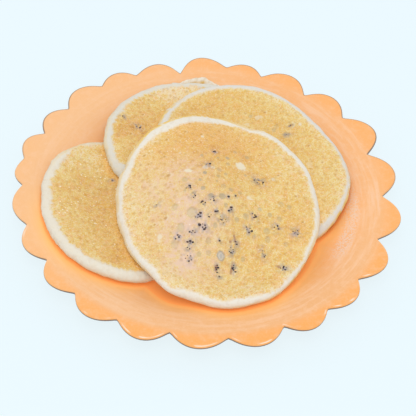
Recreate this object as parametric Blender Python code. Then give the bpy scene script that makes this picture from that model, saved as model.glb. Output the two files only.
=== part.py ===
"""Four chocolate chip pancakes heaped on a round plate with a scalloped rim.

Units are metres, +Z up. The origin is the middle of the plate's outline, on the surface it stands on.
Each pancake is draped: its underside follows the plate, and lifts over the edge of every pancake beneath it.
"""

import math

import bpy
import numpy as np

MM = 0.001

# The plate, from its middle out
FLOOR_TOP = 4.5                 # heights and radii in mm: upper face of the flat middle
WELL_RADIUS = 70.0              # where the wall starts to rise
RIM_TOP = 18.0                  # upper face where the wall ends
RIM_RADIUS = 122.0              # where the wall ends
LIP_START = 118.0
LIP_WIDTH = 17.0
LIP_RISE = 1.5                  # further rise over the scallops
PLATE_WALL = 3.0
EDGE_WALL = 2.2                 # thickness at the scalloped edge
EDGE_ROUND = 0.8
FOOT_OUTER = 72.0
FOOT_INNER = 66.0
FOOT_DRAFT = 0.6
ROUND_RINGS = (35.0, 70.0, 77.0, 84.0, 91.0, 98.0, 105.0, 112.0)

# The scallops, anticlockwise: width in degrees, radius of the crown and radius of the notch before it, in mm
FIRST_NOTCH_DEG = 4.6
SCALLOPS = (
    (19.0, 136.6, 123.7), (17.8, 140.2, 124.1), (16.1, 137.5, 128.3), (16.7, 137.7, 125.9),
    (12.2, 135.5, 127.6), (16.1, 138.4, 130.1), (15.1, 134.5, 122.6), (12.7, 135.4, 128.0),
    (15.3, 136.9, 129.2), (13.7, 135.0, 127.3), (12.4, 136.1, 127.1), (11.0, 134.0, 131.0),
    (16.6, 133.3, 127.1), (15.6, 132.9, 125.8), (15.7, 133.0, 123.4), (15.9, 134.4, 125.2),
    (16.1, 134.5, 125.9), (17.4, 133.6, 123.1), (17.3, 134.7, 125.1), (15.0, 134.4, 124.2),
    (15.4, 133.4, 126.6), (18.1, 135.2, 124.5), (18.8, 135.8, 122.6),
)
NOTCH_SOFTNESS = 0.3
SCALLOP_FULLNESS = 0.68         # below 1 the arcs are fuller, above 1 more pointed
SCALLOP_STEPS = (0.0, 0.06, 0.16, 0.32, 0.5, 0.68, 0.84, 0.94)
ROUND_EVERY = 4                 # the round rings keep one step of each four

# The pancakes, in mm
THICKNESS = 10.0
GAP = 0.7                       # air between a pancake and what carries it
DRAPE = 45.0                    # a pancake has sunk by its thickness this far past a lower one's edge
CRUST_INSET = 7.0               # the pale rounded side runs in this far under the browned top
SOLE_INSET = 6.0
WIDEST_HEIGHT = 4.5             # the side's widest line, above the underside
SHOULDER_STEPS = 4
SOLE_STEPS = 3
DISC_RINGS = 9                  # each ring of the faces has six points more than the one inside it

# From the bottom of the heap to the top. A wave is (count round the edge, height in mm, lag in degrees), and a
# dent in the edge is (place in degrees, depth in mm, half width in degrees), or a bulge where depth is negative.
PANCAKES = (
    dict(name="pancake_left", centre=(-56.7, -16.4), radii=(56.0, 65.3), turn=12.4,
         waves=((3, 0.3, 54.0), (4, 0.4, -114.0), (5, 0.6, -54.0)), dents=(), crust=(0.72, 0.46, 0.17)),
    dict(name="pancake_back", centre=(-4.4, 40.8), radii=(65.4, 72.1), turn=63.1,
         waves=((3, 0.6, -40.0), (4, 0.4, 8.0), (5, 0.9, -45.0)), dents=(), crust=(0.74, 0.49, 0.19)),
    dict(name="pancake_right", centre=(30.1, 30.3), radii=(59.8, 76.8), turn=48.0,
         waves=((3, 0.8, 109.0), (4, 1.0, -119.0), (5, 1.1, 120.0)), dents=(), crust=(0.76, 0.53, 0.22)),
    dict(name="pancake_top", centre=(9.3, -20.4), radii=(69.2, 77.6), turn=6.4,
         waves=((3, 0.5, 132.0), (4, 0.5, -9.0), (6, 0.6, -113.0), (8, 0.3, 33.0), (10, 0.4, -127.0)),
         dents=((66.0, 1.8, 5.0), (158.0, 1.6, 4.5), (36.0, 0.9, 14.0), (84.0, -1.3, 8.0),
                (198.0, 0.7, 6.0), (239.0, -2.4, 9.0), (297.0, -2.5, 10.0)),
         crust=(0.82, 0.54, 0.22)),
)

# A thin ragged tongue of batter that ran out behind one pancake: its outline, round from left to right, in mm
TONGUE_CARRIER = "pancake_back"
TONGUE_OUTLINE = (
    (-28.0, 96.0), (-2.0, 97.0), (8.0, 100.0), (5.0, 108.2), (-2.0, 111.2), (-5.3, 113.3), (-7.8, 114.8),
    (-10.0, 114.4), (-16.0, 111.9), (-21.5, 109.4), (-27.0, 105.3),
)
TONGUE_LIFT = 0.7               # its underside, above the pancake's own
TONGUE_THICKNESS = 2.6

# Chocolate that shows in the crust: right and back in mm, length, width, and turn in degrees
CHIP_PROUD = 0.6
CHIP_DEPTH = 1.6
CHIP_SEGMENTS = 6
CHIP_RINGS = 4
CHIPS = {
    "pancake_top": (
        (-0.1, -0.8, 5.0, 4.0, 0.0), (-11.6, -22.4, 4.5, 3.5, 20.0), (35.1, -3.8, 8.0, 4.5, -30.0),
        (-0.9, -34.0, 4.5, 3.0, -20.0), (5.0, -30.5, 5.0, 4.0, 60.0), (17.3, -35.1, 3.0, 4.5, 0.0),
        (-3.5, -41.5, 5.0, 4.0, 40.0), (12.8, -41.9, 5.5, 4.0, 0.0), (0.5, -47.6, 5.5, 4.0, 10.0),
        (33.3, -34.1, 4.0, 5.0, 30.0), (30.3, -43.6, 5.5, 4.0, -30.0), (49.0, -37.8, 5.5, 4.0, -45.0),
        (62.0, -39.0, 5.5, 5.0, -40.0), (-16.2, -52.8, 5.0, 3.5, 25.0), (-7.4, -56.7, 6.0, 4.0, 10.0),
        (11.6, -53.5, 3.5, 3.0, 0.0), (-7.9, -66.5, 4.0, 4.0, 0.0), (13.3, -60.9, 5.0, 6.0, 0.0),
        (41.4, -55.1, 3.5, 6.0, 30.0), (11.1, -69.2, 2.5, 6.5, 0.0), (22.5, -66.4, 3.5, 7.0, 0.0),
        (55.5, -66.0, 6.0, 4.5, -40.0),
    ),
    "pancake_right": ((56.9, 62.2, 3.5, 3.0, 0.0),),
    "pancake_back": ((-63.2, 58.9, 4.0, 3.5, 0.0), (-52.1, 52.0, 5.5, 3.5, -30.0)),
}

PLATE_COLOUR = (0.95, 0.44, 0.17)


def smoothstep(share):
    share = np.clip(share, 0.0, 1.0)
    return share * share * (3.0 - 2.0 * share)


def plate_top(radius):
    """Height of the plate's upper face: flat middle, S-shaped wall, slightly rising rim."""
    wall = smoothstep((radius - WELL_RADIUS) / (RIM_RADIUS - WELL_RADIUS))
    lip = np.clip((radius - LIP_START) / LIP_WIDTH, 0.0, 1.0)
    return FLOOR_TOP + (RIM_TOP - FLOOR_TOP) * wall + LIP_RISE * lip


def plate_under(radius):
    """Height of the plate's lower face, with the wall thinning over the rim."""
    lip = np.clip((radius - LIP_START) / LIP_WIDTH, 0.0, 1.0)
    return plate_top(radius) - PLATE_WALL + (PLATE_WALL - EDGE_WALL) * lip


def scalloped_outline():
    """Angles and radii round the rim. A scallop is a power of a softened half sine between its two notches."""
    angles, radii = [], []
    start = FIRST_NOTCH_DEG
    soft = NOTCH_SOFTNESS
    for i, (width, crown, notch) in enumerate(SCALLOPS):
        next_notch = SCALLOPS[(i + 1) % len(SCALLOPS)][2]
        for t in SCALLOP_STEPS:
            arch = (math.hypot(math.sin(math.pi * t), soft) - soft) / (math.hypot(1.0, soft) - soft)
            base = notch * (1 - t) + next_notch * t
            angles.append(math.radians(start + width * t))
            radii.append(base + (crown - base) * arch ** SCALLOP_FULLNESS)
        start += width
    return np.array(angles), np.array(radii)


def outline_middle():
    """Middle of the box round the scalloped outline, which becomes the origin."""
    angles, radii = scalloped_outline()
    x, y = radii * np.cos(angles), radii * np.sin(angles)
    return (x.min() + x.max()) / 2, (y.min() + y.max()) / 2


def new_object(name, points_mm, faces, material):
    """A mesh object from points in mm about the plate's turning centre."""
    points = np.array(points_mm, float)
    points[:, :2] -= outline_middle()
    mesh = bpy.data.meshes.new(name)
    mesh.from_pydata((points * MM).tolist(), [], faces)
    mesh.validate()
    mesh.shade_smooth()
    mesh.set_sharp_from_angle(angle=math.radians(40))
    if material:
        mesh.materials.append(material)
    obj = bpy.data.objects.new(name, mesh)
    bpy.context.scene.collection.objects.link(obj)
    return obj


def new_material(name, colour, roughness):
    material = bpy.data.materials.new(name)
    material.use_nodes = True
    shader = material.node_tree.nodes["Principled BSDF"]
    shader.inputs["Base Color"].default_value = (*colour, 1.0)
    shader.inputs["Roughness"].default_value = roughness
    shader.inputs["Metallic"].default_value = 0.0
    material.diffuse_color = (*colour, 1.0)
    return material


def band(inner, outer):
    """Triangles between two closed rings of points; the outer ring may have a whole multiple of the inner's."""
    step = len(outer) // len(inner)
    faces = []
    for i in range(len(inner)):
        after = (i + 1) % len(inner)
        for j in range(step):
            here = outer[i * step + j]
            there = outer[(i * step + j + 1) % len(outer)]
            faces.append((inner[i], here, there))
        faces.append((inner[i], outer[(i + 1) * step % len(outer)], inner[after]))
    return faces


def flipped(faces):
    return [face[::-1] for face in faces]


def build_plate():
    """Rings of points from the middle of the upper face, over the rim, to the middle of the lower face."""
    angles, edge = scalloped_outline()
    round_angles = angles[::ROUND_EVERY]
    points = []

    def ring(ring_angles, radii, heights):
        first = len(points)
        radii = np.broadcast_to(radii, ring_angles.shape)
        heights = np.broadcast_to(heights, ring_angles.shape)
        points.extend(zip(radii * np.cos(ring_angles), radii * np.sin(ring_angles), heights))
        return list(range(first, len(points)))

    points.append((0.0, 0.0, FLOOR_TOP))
    top = [ring(round_angles, radius, plate_top(radius)) for radius in ROUND_RINGS]
    top.append(ring(angles, LIP_START, plate_top(LIP_START)))
    top.append(ring(angles, edge - EDGE_ROUND, plate_top(edge - EDGE_ROUND)))
    middle = (plate_top(edge) + plate_under(edge)) / 2
    rim = ring(angles, edge, middle)
    under = [ring(angles, edge - EDGE_ROUND, plate_under(edge - EDGE_ROUND))]
    under.append(ring(angles, LIP_START, plate_under(LIP_START)))
    outside_foot = [radius for radius in ROUND_RINGS if radius > FOOT_OUTER + FOOT_DRAFT]
    under += [ring(round_angles, radius, plate_under(radius)) for radius in reversed(outside_foot)]
    recess = plate_under(0.0)
    under.append(ring(round_angles, FOOT_OUTER + FOOT_DRAFT, plate_under(FOOT_OUTER + FOOT_DRAFT)))
    under.append(ring(round_angles, FOOT_OUTER, 0.0))
    under.append(ring(round_angles, FOOT_INNER, 0.0))
    under.append(ring(round_angles, FOOT_INNER - FOOT_DRAFT, recess))
    last = len(points)
    points.append((0.0, 0.0, recess))

    faces = [(0, a, b) for a, b in zip(top[0], top[0][1:] + top[0][:1])]
    for inner, outer in zip(top, top[1:]):
        faces += band(inner, outer)
    faces += band(top[-1], rim)
    faces += flipped(band(under[0], rim))
    for outer, inner in zip(under, under[1:]):
        faces += flipped(band(inner, outer))
    faces += [(last, b, a) for a, b in zip(under[-1], under[-1][1:] + under[-1][:1])]
    return new_object("plate", points, faces, new_material("plate_glaze", PLATE_COLOUR, 0.3))


def edge_share(cake, angle):
    """The edge's distance from the centre as a share of the plain ellipse's, for its waves and dents."""
    share = np.ones_like(angle)
    size = sum(cake["radii"]) / 2
    for count, height, lag in cake["waves"]:
        share = share + height / size * np.cos(count * angle - math.radians(lag))
    for place, depth, half_width in cake["dents"]:
        away = (angle - math.radians(place) + math.pi) % (2 * math.pi) - math.pi
        share = share - depth / size * np.exp(-(away / math.radians(half_width)) ** 2)
    return share


def plan_point(cake, angle, share, inset):
    """Plan position at an angle of the ellipse, a share of the way out to a line inset from the edge."""
    reach = edge_share(cake, angle) * share
    along = (cake["radii"][0] - inset) * reach * np.cos(angle)
    across = (cake["radii"][1] - inset) * reach * np.sin(angle)
    turn = math.radians(cake["turn"])
    x = cake["centre"][0] + along * math.cos(turn) - across * math.sin(turn)
    y = cake["centre"][1] + along * math.sin(turn) + across * math.cos(turn)
    return x, y


def distance_beyond(cake, x, y):
    """How far a plan position lies outside a pancake's edge, in mm; negative inside."""
    turn = math.radians(cake["turn"])
    dx, dy = x - cake["centre"][0], y - cake["centre"][1]
    along = (dx * math.cos(turn) + dy * math.sin(turn)) / cake["radii"][0]
    across = (dy * math.cos(turn) - dx * math.sin(turn)) / cake["radii"][1]
    share = np.maximum(np.hypot(along, across), 1e-6)
    return np.hypot(dx, dy) * (1.0 - edge_share(cake, np.arctan2(across, along)) / share)


def underside(level, x, y):
    """Height of a pancake's underside: the plate, plus each lower pancake with a soft ramp past its edge."""
    height = plate_top(np.hypot(x, y)) + GAP
    for lower in PANCAKES[:level]:
        ramp = 1.0 - smoothstep(distance_beyond(lower, x, y) / DRAPE)
        height = height + (THICKNESS + GAP) * ramp
    return height


def disc_faces(first):
    """Triangles of a disc whose ring k has 6k points, with its centre at index first, facing up."""
    starts = [first] + [first + 1 + 3 * k * (k - 1) for k in range(1, DISC_RINGS + 1)]
    faces = [(first, first + 1 + i, first + 1 + (i + 1) % 6) for i in range(6)]
    for k in range(2, DISC_RINGS + 1):
        for sector in range(6):
            for j in range(k):
                here = starts[k] + (sector * k + j) % (6 * k)
                there = starts[k] + (sector * k + j + 1) % (6 * k)
                inner = starts[k - 1] + (sector * (k - 1) + j) % (6 * k - 6)
                faces.append((here, there, inner))
                if j < k - 1:
                    inner_next = starts[k - 1] + (sector * (k - 1) + j + 1) % (6 * k - 6)
                    faces.append((there, inner_next, inner))
    return faces


def disc_parameters():
    """Share of the radius and angle of each point of a disc, from its centre out."""
    shares, angles = [0.0], [0.0]
    for k in range(1, DISC_RINGS + 1):
        shares += [k / DISC_RINGS] * (6 * k)
        angles += [2 * math.pi * i / (6 * k) for i in range(6 * k)]
    return np.array(shares), np.array(angles)


def build_pancake(level):
    """Two draped discs joined by a rounded side: a quarter ellipse down from the crust, and one in to the sole."""
    cake = PANCAKES[level]
    shares, angles = disc_parameters()
    columns = 6 * DISC_RINGS
    edge_angles = angles[-columns:]

    def layer(angle, share, inset, height):
        x, y = plan_point(cake, angle, share, inset)
        return list(zip(x, y, underside(level, x, y) + height))

    points = layer(angles, shares, CRUST_INSET, THICKNESS)
    rings = [list(range(len(points) - columns, len(points)))]
    side = []
    for i in range(1, SHOULDER_STEPS + 1):
        turn = math.pi / 2 * i / SHOULDER_STEPS
        rise = (THICKNESS - WIDEST_HEIGHT) * math.cos(turn)
        side.append((CRUST_INSET * (1 - math.sin(turn)), WIDEST_HEIGHT + rise))
    for i in range(1, SOLE_STEPS):
        turn = math.pi / 2 * i / SOLE_STEPS
        side.append((SOLE_INSET * (1 - math.cos(turn)), WIDEST_HEIGHT * (1 - math.sin(turn))))
    for inset, height in side:
        first = len(points)
        points += layer(edge_angles, 1.0, inset, height)
        rings.append(list(range(first, len(points))))
    sole_first = len(points)
    points += layer(angles, shares, SOLE_INSET, 0.0)
    rings.append(list(range(len(points) - columns, len(points))))

    faces = disc_faces(0) + flipped(disc_faces(sole_first))
    for upper, lower in zip(rings, rings[1:]):
        faces += band(upper, lower)
    return new_object(cake["name"], points, faces, new_material(cake["name"] + "_crust", cake["crust"], 0.65))


def tongue(level):
    """A thin slab over the plate whose root lies inside the pancake's side."""
    outline = np.array(TONGUE_OUTLINE)
    low = underside(level, outline[:, 0], outline[:, 1]) + TONGUE_LIFT
    count = len(outline)
    points = [(x, y, z) for (x, y), z in zip(outline, low)]
    points += [(x, y, z + TONGUE_THICKNESS) for (x, y), z in zip(outline, low)]
    middle = outline.mean(axis=0)
    height = float(underside(level, middle[0], middle[1])) + TONGUE_LIFT
    points += [(middle[0], middle[1], height), (middle[0], middle[1], height + TONGUE_THICKNESS)]
    faces = []
    for i in range(count):
        after = (i + 1) % count
        faces += [(i, after, after + count), (i, after + count, i + count)]
        faces += [(after, i, 2 * count), (i + count, after + count, 2 * count + 1)]
    return new_object("tongue", points, faces, None)


def chip(level, x, y, length, width, turn_deg):
    """A lump as a flattened ball that lies along the crust's slope, with its crown just proud of it."""
    points, faces = [], []
    turn = math.radians(turn_deg)
    top = THICKNESS + CHIP_PROUD - CHIP_DEPTH
    for i in range(1, CHIP_RINGS):
        down = math.pi * i / CHIP_RINGS
        for j in range(CHIP_SEGMENTS):
            around = 2 * math.pi * j / CHIP_SEGMENTS
            along = length / 2 * math.sin(down) * math.cos(around)
            across = width / 2 * math.sin(down) * math.sin(around)
            px = x + along * math.cos(turn) - across * math.sin(turn)
            py = y + along * math.sin(turn) + across * math.cos(turn)
            points.append((px, py, float(underside(level, px, py)) + top + CHIP_DEPTH * math.cos(down)))
    crown, base = len(points), len(points) + 1
    height = float(underside(level, x, y)) + top
    points += [(x, y, height + CHIP_DEPTH), (x, y, height - CHIP_DEPTH)]
    rings = [list(range(i * CHIP_SEGMENTS, (i + 1) * CHIP_SEGMENTS)) for i in range(CHIP_RINGS - 1)]
    for upper, lower in zip(rings, rings[1:]):
        faces += band(upper, lower)
    faces += [(crown, a, b) for a, b in zip(rings[0], rings[0][1:] + rings[0][:1])]
    faces += [(base, b, a) for a, b in zip(rings[-1], rings[-1][1:] + rings[-1][:1])]
    return new_object("chip", points, faces, None)


def fuse(body, pieces):
    """Join the pieces to the body in one union, and keep only the body."""
    extras = bpy.data.collections.new("extras")
    bpy.context.scene.collection.children.link(extras)
    for piece in pieces:
        bpy.context.scene.collection.objects.unlink(piece)
        extras.objects.link(piece)
    union = body.modifiers.new("union", "BOOLEAN")
    union.operation = "UNION"
    union.operand_type = "COLLECTION"
    union.collection = extras
    union.solver = "EXACT"
    bpy.context.view_layer.update()
    evaluated = body.evaluated_get(bpy.context.evaluated_depsgraph_get())
    fused = bpy.data.meshes.new_from_object(evaluated)
    body.modifiers.clear()
    plain = body.data
    body.data = fused
    bpy.data.meshes.remove(plain)
    for piece in pieces:
        mesh = piece.data
        bpy.data.objects.remove(piece, do_unlink=True)
        bpy.data.meshes.remove(mesh)
    bpy.data.collections.remove(extras)


def build():
    for obj in list(bpy.data.objects):
        bpy.data.objects.remove(obj, do_unlink=True)
    build_plate()
    for level, cake in enumerate(PANCAKES):
        body = build_pancake(level)
        pieces = [chip(level, *values) for values in CHIPS.get(cake["name"], ())]
        if cake["name"] == TONGUE_CARRIER:
            pieces.append(tongue(level))
        if pieces:
            fuse(body, pieces)


build()
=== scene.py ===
# Four chocolate chip pancakes heaped on an orange plate with a scalloped rim
import math

import bpy
import numpy as np
from mathutils import Matrix, Vector


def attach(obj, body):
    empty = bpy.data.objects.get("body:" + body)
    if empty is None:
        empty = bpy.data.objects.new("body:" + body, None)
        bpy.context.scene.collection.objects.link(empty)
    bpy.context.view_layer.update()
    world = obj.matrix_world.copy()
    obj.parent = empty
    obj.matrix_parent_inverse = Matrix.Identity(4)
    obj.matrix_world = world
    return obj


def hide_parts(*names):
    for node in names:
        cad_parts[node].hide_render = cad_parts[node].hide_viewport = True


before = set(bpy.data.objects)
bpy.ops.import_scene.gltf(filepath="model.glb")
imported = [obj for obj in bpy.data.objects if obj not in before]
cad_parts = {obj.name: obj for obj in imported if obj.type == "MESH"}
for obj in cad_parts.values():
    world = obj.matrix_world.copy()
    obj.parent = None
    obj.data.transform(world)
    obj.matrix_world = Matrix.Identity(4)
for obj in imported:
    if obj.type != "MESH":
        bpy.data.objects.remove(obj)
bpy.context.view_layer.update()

mm = 0.001
turnRound = 2 * math.pi


# shapes shared by the plate and the pancakes, all in mm about the plate's turning centre

# 3t^2 - 2t^3, held between 0 and 1
def smoothStep(share):
    share = np.clip(share, 0.0, 1.0)
    return share * share * (3.0 - 2.0 * share)


# Soft noise from 0 to 1: random values on a square lattice, blended by smoothStep between its corners
def cloud(x, y, size, seed):
    table = np.random.default_rng(seed).random((128, 128))
    across, along = x / size + 500.0, y / size + 500.0
    column, row = np.floor(across).astype(int), np.floor(along).astype(int)
    right, up = smoothStep(across - column), smoothStep(along - row)
    column, row = column % 128, row % 128
    nextColumn, nextRow = (column + 1) % 128, (row + 1) % 128
    low = table[row, column] * (1 - right) + table[row, nextColumn] * right
    high = table[nextRow, column] * (1 - right) + table[nextRow, nextColumn] * right
    return low * (1 - up) + high * up


# One jittered point in each lattice square: distance to the nearest in mm, its offset and its random number
def cells(x, y, size, seed):
    source = np.random.default_rng(seed)
    jitterX, jitterY, number = source.random((3, 128, 128))
    column, row = np.floor(x / size).astype(int) + 512, np.floor(y / size).astype(int) + 512
    nearest = np.full(x.shape, 1e6)
    offsetY, found = np.zeros(x.shape), np.zeros(x.shape)
    for stepX in (-1, 0, 1):
        for stepY in (-1, 0, 1):
            pick = ((row + stepY) % 128, (column + stepX) % 128)
            dx = x - (column - 512 + stepX + 0.15 + 0.7 * jitterX[pick]) * size
            dy = y - (row - 512 + stepY + 0.15 + 0.7 * jitterY[pick]) * size
            closer = np.hypot(dx, dy) < nearest
            nearest = np.where(closer, np.hypot(dx, dy), nearest)
            offsetY = np.where(closer, dy, offsetY)
            found = np.where(closer, number[pick], found)
    return nearest, offsetY, found


plate = dict(
    floorTop=4.5, wellRadius=70.0, rimTop=18.0, rimRadius=122.0,
    lipStart=118.0, lipWidth=17.0, lipRise=1.5,
    wall=3.0, edgeWall=2.2, edgeRound=0.8,
    footOuter=72.0, footInner=66.0, footDraft=0.6, bevelWidth=0.3, bevelHeight=0.25,
    firstNotch=4.6,    # degrees, anticlockwise from the right
    scallops=(         # width in degrees, crown radius and radius of the notch before it, anticlockwise
        (19.0, 136.6, 123.7), (17.8, 140.2, 124.1), (16.1, 137.5, 128.3), (16.7, 137.7, 125.9),
        (12.2, 135.5, 127.6), (16.1, 138.4, 130.1), (15.1, 134.5, 122.6), (12.7, 135.4, 128.0),
        (15.3, 136.9, 129.2), (13.7, 135.0, 127.3), (12.4, 136.1, 127.1), (11.0, 134.0, 131.0),
        (16.6, 133.3, 127.1), (15.6, 132.9, 125.8), (15.7, 133.0, 123.4), (15.9, 134.4, 125.2),
        (16.1, 134.5, 125.9), (17.4, 133.6, 123.1), (17.3, 134.7, 125.1), (15.0, 134.4, 124.2),
        (15.4, 133.4, 126.6), (18.1, 135.2, 124.5), (18.8, 135.8, 122.6),
    ),
    notchSoftness=0.3, fullness=0.68,
    columnsPerScallop=24, trim=0.08, ridgeInset=1.4,
    # painted shade: the next value is the strength of the dark line along the edge
    backLine=0.75,              # strength of the thin dark line along the edge
    glintInset=0.6, glintArc=130.0, glintLength=5.0, glintSeed=61,
)


# Share of the way out over the scallops
def lipShare(radius):
    return np.clip((radius - plate["lipStart"]) / plate["lipWidth"], 0.0, 1.0)


# Upper face of the plate: flat middle, smoothStep wall, then a straight slight rise over the scallops
def plateTop(radius):
    wall = smoothStep((radius - plate["wellRadius"]) / (plate["rimRadius"] - plate["wellRadius"]))
    rise = (plate["rimTop"] - plate["floorTop"]) * wall + plate["lipRise"] * lipShare(radius)
    return plate["floorTop"] + rise


# Lower face: one wall below the upper face, the wall thinning over the rim
def plateUnder(radius):
    return plateTop(radius) - plate["wall"] + (plate["wall"] - plate["edgeWall"]) * lipShare(radius)


# Angles and radii round the rim: each scallop is a power of a softened half sine standing on its two notches
def scallopedOutline(steps):
    widths, crowns, notch = np.array(plate["scallops"]).T
    starts = math.radians(plate["firstNotch"]) + np.radians(np.concatenate([[0.0], np.cumsum(widths)[:-1]]))
    t = np.asarray(steps)[None, :]
    soft = plate["notchSoftness"]
    arch = (np.hypot(np.sin(math.pi * t), soft) - soft) / (math.hypot(1.0, soft) - soft)
    base = notch[:, None] * (1 - t) + np.roll(notch, -1)[:, None] * t
    radii = base + (crowns[:, None] - base) * arch ** plate["fullness"]
    angles = starts[:, None] + np.radians(widths)[:, None] * t
    return angles.ravel(), radii.ravel()


# The frame's origin is the middle of the box round the outline, at the steps the solid was made with
def outlineMiddle():
    angles, radii = scallopedOutline((0.0, 0.06, 0.16, 0.32, 0.5, 0.68, 0.84, 0.94))
    x, y = radii * np.cos(angles), radii * np.sin(angles)
    return np.array([(x.min() + x.max()) / 2, (y.min() + y.max()) / 2, 0.0])


frameMiddle = outlineMiddle()


# A mesh object from points in mm, with the values in fields stored at its points
def addPiece(name, points, faces, material, fields=None):
    mesh = bpy.data.meshes.new(name)
    mesh.from_pydata(((points - frameMiddle) * mm).tolist(), [], faces)
    mesh.update()
    mesh.shade_smooth()
    for field, values in (fields or {}).items():
        layer = mesh.attributes.new(field, "FLOAT", "POINT")
        layer.data.foreach_set("value", values.astype(np.float32))
    mesh.materials.append(material)
    piece = bpy.data.objects.new(name, mesh)
    bpy.context.scene.collection.objects.link(piece)
    print(name, "has", sum(len(face) - 2 for face in faces), "triangles")
    return piece


# Quads between stacked rings of equal length, anticlockwise seen from outside
def ringFaces(rings):
    upper, lower = rings[:-1], rings[1:]
    quads = np.stack([upper, lower, np.roll(lower, -1, 1), np.roll(upper, -1, 1)], axis=-1)
    return quads.reshape(-1, 4).tolist()


# Triangles from each edge of a ring to one pole
def fanFaces(ring, pole, outward):
    after = np.roll(ring, -1)
    poles = np.full(len(ring), pole)
    order = (poles, ring, after) if outward else (ring, poles, after)
    return np.stack(order, axis=-1).tolist()


# shader writing

# Screen colour from 0 to 255, made linear
def tint(red, green, blue):
    screen = np.array([red, green, blue]) / 255.0
    linear = np.where(screen <= 0.04045, screen / 12.92, ((screen + 0.055) / 1.055) ** 2.4)
    return (*linear.tolist(), 1.0)


# Wraps an output socket, so masks are written as sums and products; node() makes any other node
class Wire:
    def __init__(self, tree, socket=None):
        self.tree = tree
        self.socket = socket

    def node(self, kind, settings=None, inputs=None, output=0):
        made = self.tree.nodes.new(kind)
        settings = dict(settings or {})
        stops = settings.pop("stops", ())
        for key, value in settings.items():
            setattr(made, key, value)
        for index, (place, colour) in enumerate(stops):
            ramp = made.color_ramp.elements
            stop = ramp[index] if index < len(ramp) else ramp.new(place)
            stop.position = place
            stop.color = colour
        for key, value in (inputs or {}).items():
            if isinstance(value, Wire):
                self.tree.links.new(value.socket, made.inputs[key])
            else:
                made.inputs[key].default_value = value
        return Wire(self.tree, made.outputs[output])

    def maths(self, operation, *values):
        return self.node("ShaderNodeMath", {"operation": operation}, dict(enumerate(values)))

    def __add__(self, other):
        return self.maths("ADD", self, other)

    def __sub__(self, other):
        return self.maths("SUBTRACT", self, other)

    def __rsub__(self, other):
        return self.maths("SUBTRACT", other, self)

    def __mul__(self, other):
        return self.maths("MULTIPLY", self, other)

    __radd__, __rmul__ = __add__, __mul__

    # 0 below the first value, 1 above the second, smooth between
    def between(self, low, high):
        return self.node("ShaderNodeMapRange", {"interpolation_type": "SMOOTHSTEP"},
                         {"Value": self, "From Min": low, "From Max": high})

    def betweenMm(self, low, high):
        return self.between(low * mm, high * mm)

    def mix(self, factor, first, second):
        return self.node("ShaderNodeMix", {"data_type": "RGBA", "clamp_factor": True},
                         {0: factor, 6: first, 7: second}, 2)

    def noise(self, place, sizeMm, detail=2.0, roughness=0.5, distortion=0.0):
        return self.node("ShaderNodeTexNoise", {"noise_dimensions": "3D"},
                         {"Vector": place, "Scale": 1.0 / (sizeMm * mm), "Detail": detail,
                          "Roughness": roughness, "Distortion": distortion}, "Fac")

    def spots(self, place, sizeMm, output="Distance"):
        return self.node("ShaderNodeTexVoronoi", {"feature": "F1"},
                         {"Vector": place, "Scale": 1.0 / (sizeMm * mm)}, output)

    # round dots in some cells of a pattern; radii and odds are pairs for between()
    def dots(self, place, sizeMm, radii, channel, odds):
        chance = self.node("ShaderNodeSeparateColor", {}, {0: self.spots(place, sizeMm, "Color")}, channel)
        return (1.0 - self.spots(place, sizeMm).between(*radii)) * chance.between(*odds)

    def axis(self, letter):
        return self.node("ShaderNodeSeparateXYZ", {}, {0: self}, letter)

    # height as a bump over a depth in mm
    def roughen(self, height, strength, depth, shader):
        inputs = {"Strength": strength, "Distance": depth * mm, "Height": height}
        plug(self.node("ShaderNodeBump", {}, inputs, "Normal"), shader, "Normal")

    def field(self, name):
        return self.node("ShaderNodeAttribute", {"attribute_name": name}, output="Fac")

    def place(self):
        return self.node("ShaderNodeTexCoord", output="Object")


# A material with its Principled shader; constants go straight on the shader's sockets
def newMaterial(name, preview, constants):
    material = bpy.data.materials.new(name)
    material.use_nodes = True
    material.diffuse_color = preview
    shader = material.node_tree.nodes["Principled BSDF"]
    for key, value in constants.items():
        shader.inputs[key].default_value = value
    return material, Wire(material.node_tree), shader


def plug(wire, shader, socket):
    wire.tree.links.new(wire.socket, shader.inputs[socket])


# the plate

glaze = dict(
    # from the middle outwards, as shares of the reach; the paler stops at 0.80 and 0.86 are partly the
    # glaze's own tone and partly a painted sheen where the wall meets the rim
    stops=((0.52, tint(254, 162, 93)), (0.66, tint(250, 172, 103)), (0.80, tint(234, 176, 120)),
           (0.86, tint(234, 176, 120)), (0.92, tint(240, 168, 93))),
    reach=140.0, lip=tint(240, 168, 93),
    pale=tint(233, 184, 134), paleTowards=(-1.0, 0.03),     # the side of the plate that is paler
    rich=tint(240, 172, 104), richTowards=(0.55, 0.84),     # and the side that is richer
    front=tint(227, 169, 111), frontTowards=(0.15, -0.99),  # the near side is a little darker
    # the paler pink colour below, after the front lip's, paints a sheen on the wall towards the front left
    frontLip=tint(239, 164, 84), paintedPaleSheen=tint(236, 204, 172), paintedPaleSheenTowards=(-0.62, -0.78),
    # the edge colour below paints a thin shade line along the rim's edge
    streak=tint(238, 196, 160), edge=tint(118, 96, 84), glint=tint(255, 226, 208),
    # the contact colour below paints shade where the cakes touch the plate, and the nearCake colour paints
    # light beside them
    contactShade=tint(255, 140, 56), nearCake=tint(251, 193, 118), dust=tint(228, 208, 196),
    dustTowards=(0.985, -0.17), streakTightness=0.011,
    unlit=tint(0, 0, 0), bounce=tint(117, 79, 42),    # light thrown back and forth under the cakes' edges
)


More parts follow.
